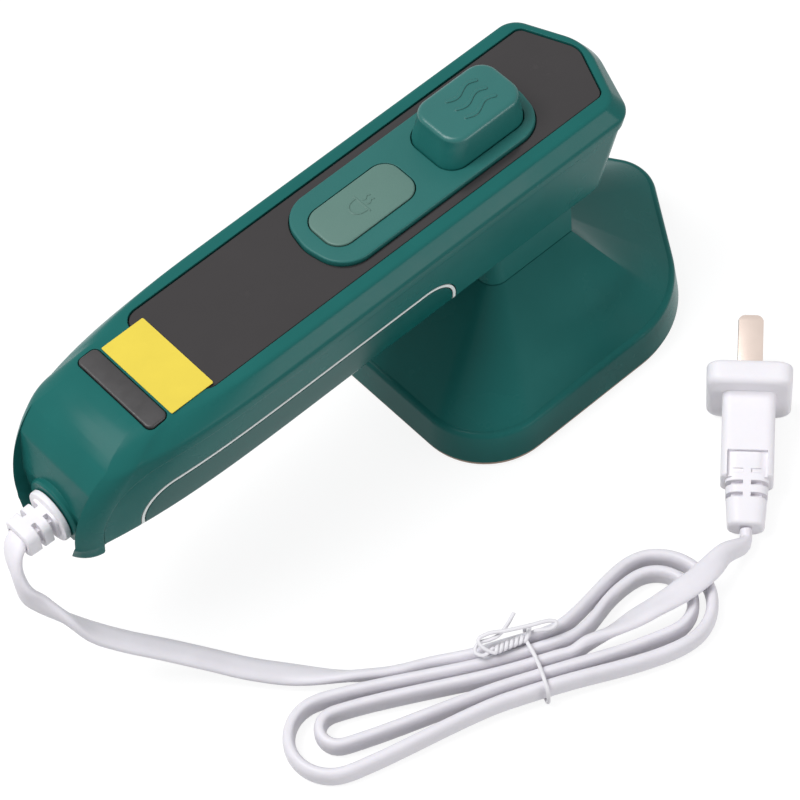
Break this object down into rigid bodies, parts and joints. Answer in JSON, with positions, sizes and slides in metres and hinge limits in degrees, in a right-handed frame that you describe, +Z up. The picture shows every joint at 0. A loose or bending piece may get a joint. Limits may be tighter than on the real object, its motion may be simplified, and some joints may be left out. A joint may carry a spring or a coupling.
{
  "type": "handheld steam iron",
  "caption": "Small handheld steam iron: a bar handle with a built-in water tank and steam pump button, swivelling on a flat soleplate head, with its tied cord and plug.",
  "frame": {"origin": "on the soleplate's flat underside, under the axis on which the head swivels", "axes": "+Z up, +X along the handle towards its front end, -X towards the cord"},
  "size_m": [0.2113, 0.1508, 0.0887],
  "materials": {
    "green_shell": "satin",
    "green_bezel": "satin",
    "green_button": "satin",
    "green_tank": "gloss",
    "grey_button": "satin",
    "black_panel": "gloss",
    "black_cap": "satin",
    "yellow_label": "matte",
    "white_gasket": "matte",
    "white_rubber": "satin",
    "white_cord": "satin",
    "white_tie": "matte",
    "plated_brass": "polished",
    "inner_plastic": "matte",
    "black_plastic": "matte",
    "clear_hose": "satin",
    "red_seal": "matte",
    "circuit_board": "satin",
    "red_light": "gloss",
    "spring_steel": "polished",
    "screw_steel": "brushed",
    "element_steel": "satin",
    "coated_plate": "satin",
    "cast_block": "cast",
    "white_ceramic": "matte"
  },
  "bodies": {
    "handle": {"upper_shell": "green_shell", "lower_shell": "green_shell", "top_panel": "black_panel", "button_bezel": "green_bezel", "blank_label": "yellow_label", "water_tank": "green_tank", "tank_gasket": "white_gasket", "tank_lid": "inner_plastic", "filler_tube": "inner_plastic", "pump_body": "inner_plastic", "pump_spring": "spring_steel", "suction_tube": "clear_hose", "steam_hose": "clear_hose", "control_board": "circuit_board", "power_switch": "black_plastic", "indicator_light": "red_light", "swivel_sleeve": "inner_plastic", "swivel_ring": "spring_steel", "cord_gland": "white_rubber", "handle_screw_1": "screw_steel", "handle_screw_2": "screw_steel", "handle_screw_3": "screw_steel", "handle_screw_4": "screw_steel", "cord_lead": "white_cord", "cord_hank": "white_cord", "cord_tail": "white_cord", "hank_tie": "white_tie", "plug_body": "white_rubber", "plug_blade_upper": "plated_brass", "plug_blade_lower": "plated_brass"},
    "head": {"head_cover": "green_shell", "soleplate": "coated_plate", "heat_shield": "black_plastic", "heater_block": "cast_block", "heating_element": "element_steel", "chamber_seal": "red_seal", "chamber_lid": "cast_block", "thermostat": "white_ceramic", "thermal_fuse": "white_ceramic", "head_screw_1": "screw_steel", "head_screw_2": "screw_steel", "head_screw_3": "screw_steel", "head_screw_4": "screw_steel"},
    "steam_button": {"steam_button": "green_button", "pump_plunger": "inner_plastic"},
    "power_button": {"power_button": "grey_button"},
    "filler_cap": {"filler_cap": "black_cap"}
  },
  "joints": [
    {"name": "head_swivel", "type": "hinge", "parent": "handle", "child": "head", "pos_m": [0, 0, 0.0384], "axis": [0, 0, 1], "range_deg": [-90, 90]},
    {"name": "steam_press", "type": "slide", "parent": "handle", "child": "steam_button", "axis": [0, 0, -1], "range_m": [0, 0.005], "stiffness_N_per_m": 600, "springref_m": -0.003, "deforming": ["pump_spring"]},
    {"name": "power_press", "type": "slide", "parent": "handle", "child": "power_button", "axis": [0, 0, -1], "range_m": [0, 0.001], "stiffness_N_per_m": 1500, "springref_m": -0.0005},
    {"name": "filler_cap_hinge", "type": "hinge", "parent": "handle", "child": "filler_cap", "pos_m": [-0.1135, 0.0129, 0.0787], "axis": [-1, 0, 0], "range_deg": [0, 100]}
  ]
}
